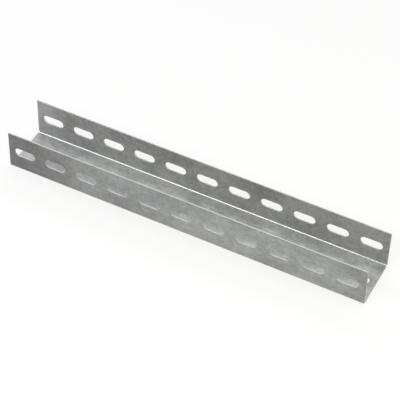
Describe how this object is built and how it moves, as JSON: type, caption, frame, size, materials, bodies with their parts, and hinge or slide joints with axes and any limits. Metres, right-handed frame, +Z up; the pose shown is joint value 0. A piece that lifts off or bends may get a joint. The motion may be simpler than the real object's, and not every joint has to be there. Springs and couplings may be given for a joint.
{
  "type": "slotted strut channel",
  "caption": "Plain U channel of bent galvanised sheet steel with rows of obround slots along its web and both flanges, for bolting up frames, brackets and pipe or cable runs.",
  "frame": {"origin": "bottom centre: mid-length and mid-width, on the underside of the web", "axes": "+X along the channel's length, +Y across the web to the back flange, +Z up out of the open side"},
  "size_m": [0.552, 0.08, 0.063],
  "materials": {
    "galvanised_steel": "galvanised, satin zinc grey"
  },
  "bodies": {
    "root": {"channel": "galvanised_steel"}
  },
  "joints": []
}
